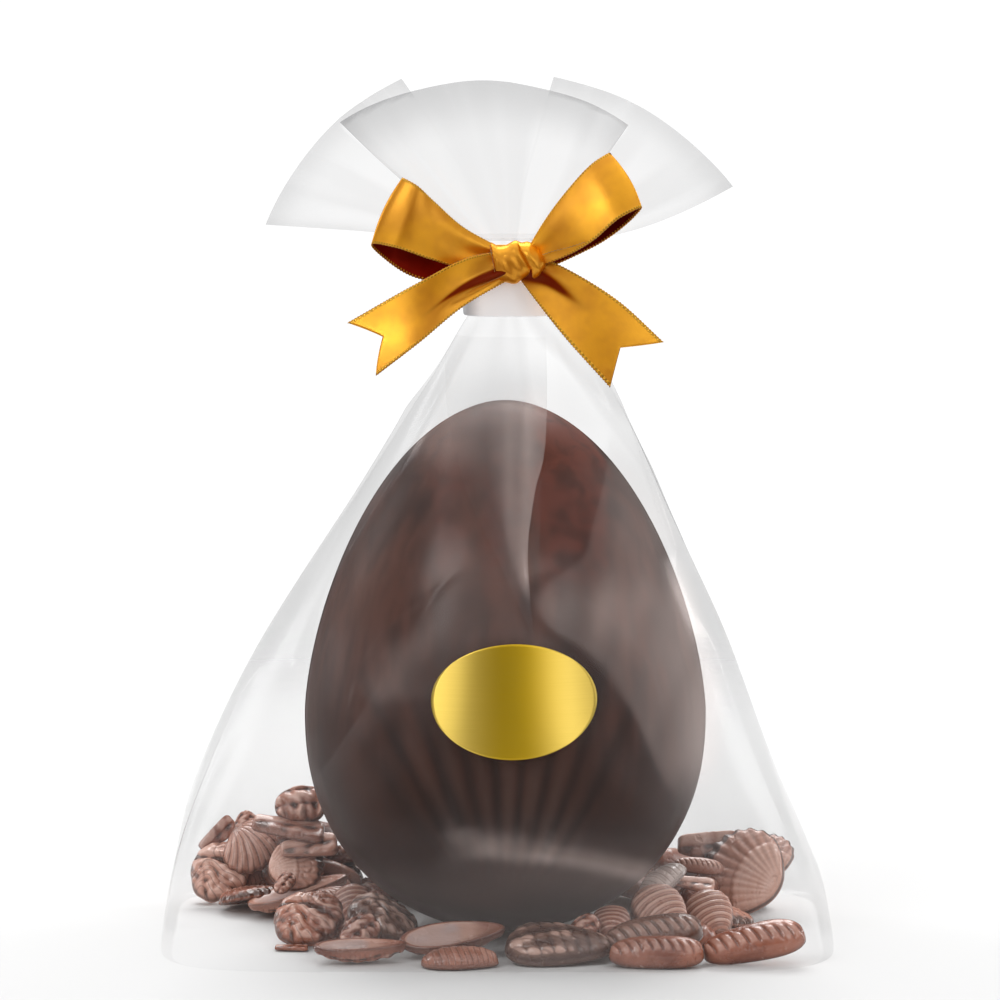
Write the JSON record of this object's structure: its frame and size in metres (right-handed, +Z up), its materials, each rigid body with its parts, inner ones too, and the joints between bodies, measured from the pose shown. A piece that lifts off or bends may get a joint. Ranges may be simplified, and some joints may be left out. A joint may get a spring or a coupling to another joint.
{
  "type": "chocolate egg",
  "caption": "Dark chocolate egg with small moulded chocolates in a clear gathered gift bag, with a gold satin bow and a bare gold oval label.",
  "frame": {"origin": "middle of the flat base of the bag, on the surface it stands on", "axes": "+Z up from the base to the open fans of film, -Y out of the front with the label and the bow, +X to the right seen from the front"},
  "size_m": [0.1894, 0.12, 0.2438],
  "materials": {
    "film": "gloss",
    "dark_chocolate": "satin",
    "milk_chocolate": "satin",
    "band": "satin",
    "satin": "satin",
    "foil": "satin"
  },
  "bodies": {
    "root": {"bag": "film", "tie_band": "band", "ribbon_bow": "satin", "label": "foil"}
  },
  "joints": []
}
